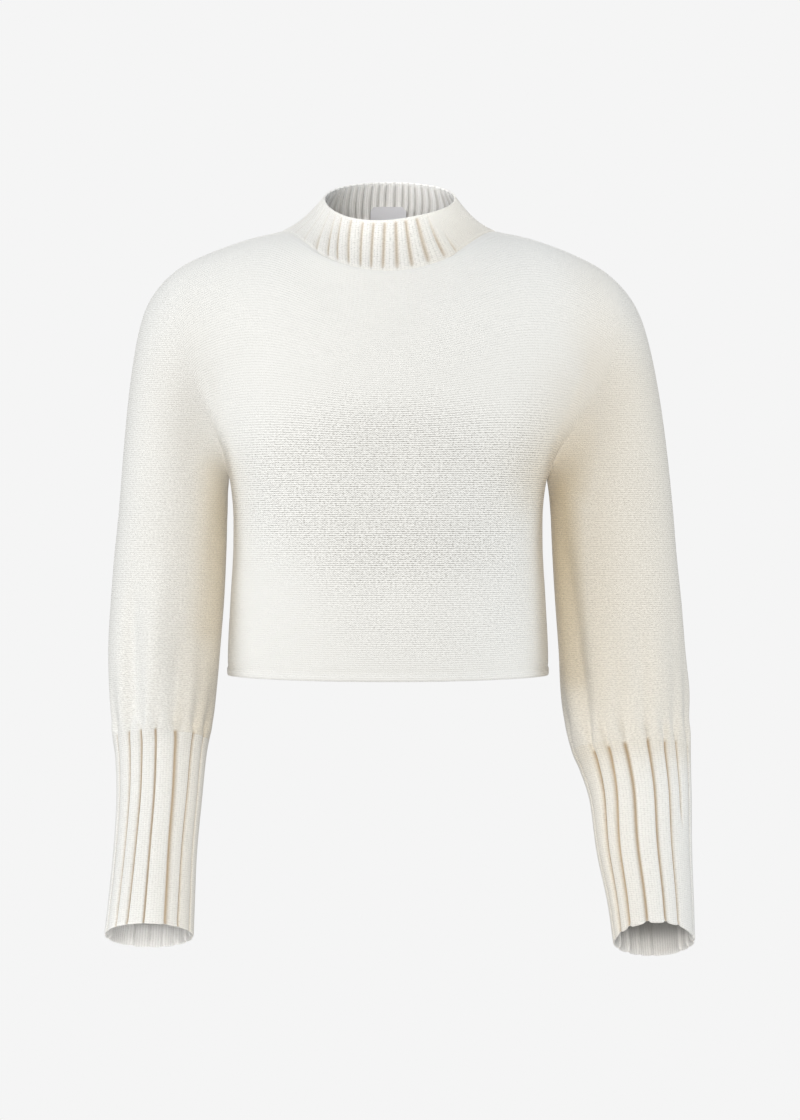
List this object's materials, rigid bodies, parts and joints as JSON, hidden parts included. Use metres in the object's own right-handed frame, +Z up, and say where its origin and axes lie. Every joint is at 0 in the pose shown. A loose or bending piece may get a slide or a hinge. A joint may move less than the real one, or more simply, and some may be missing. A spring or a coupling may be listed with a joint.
{
  "type": "cropped knit sweater",
  "caption": "Cropped mock-neck knit sweater with long puffed sleeves and deep ribbed cuffs, hollow and filled out as worn.",
  "frame": {"origin": "midway between the two side neck points, where the shoulders carry the sweater", "axes": "+Z up, -Y the front, +X the wearer's left"},
  "size_m": [0.5262, 0.2322, 0.6997],
  "materials": {
    "jersey_knit": "matt ivory plain knit",
    "rib_knit": "matt ivory rib",
    "woven_label": "satin grey weave"
  },
  "bodies": {
    "root": {"front": "jersey_knit", "back": "jersey_knit", "sleeve_right": "jersey_knit", "sleeve_left": "jersey_knit", "cuff_right": "rib_knit", "cuff_left": "rib_knit", "collar": "rib_knit", "neck_label": "woven_label"}
  },
  "joints": []
}
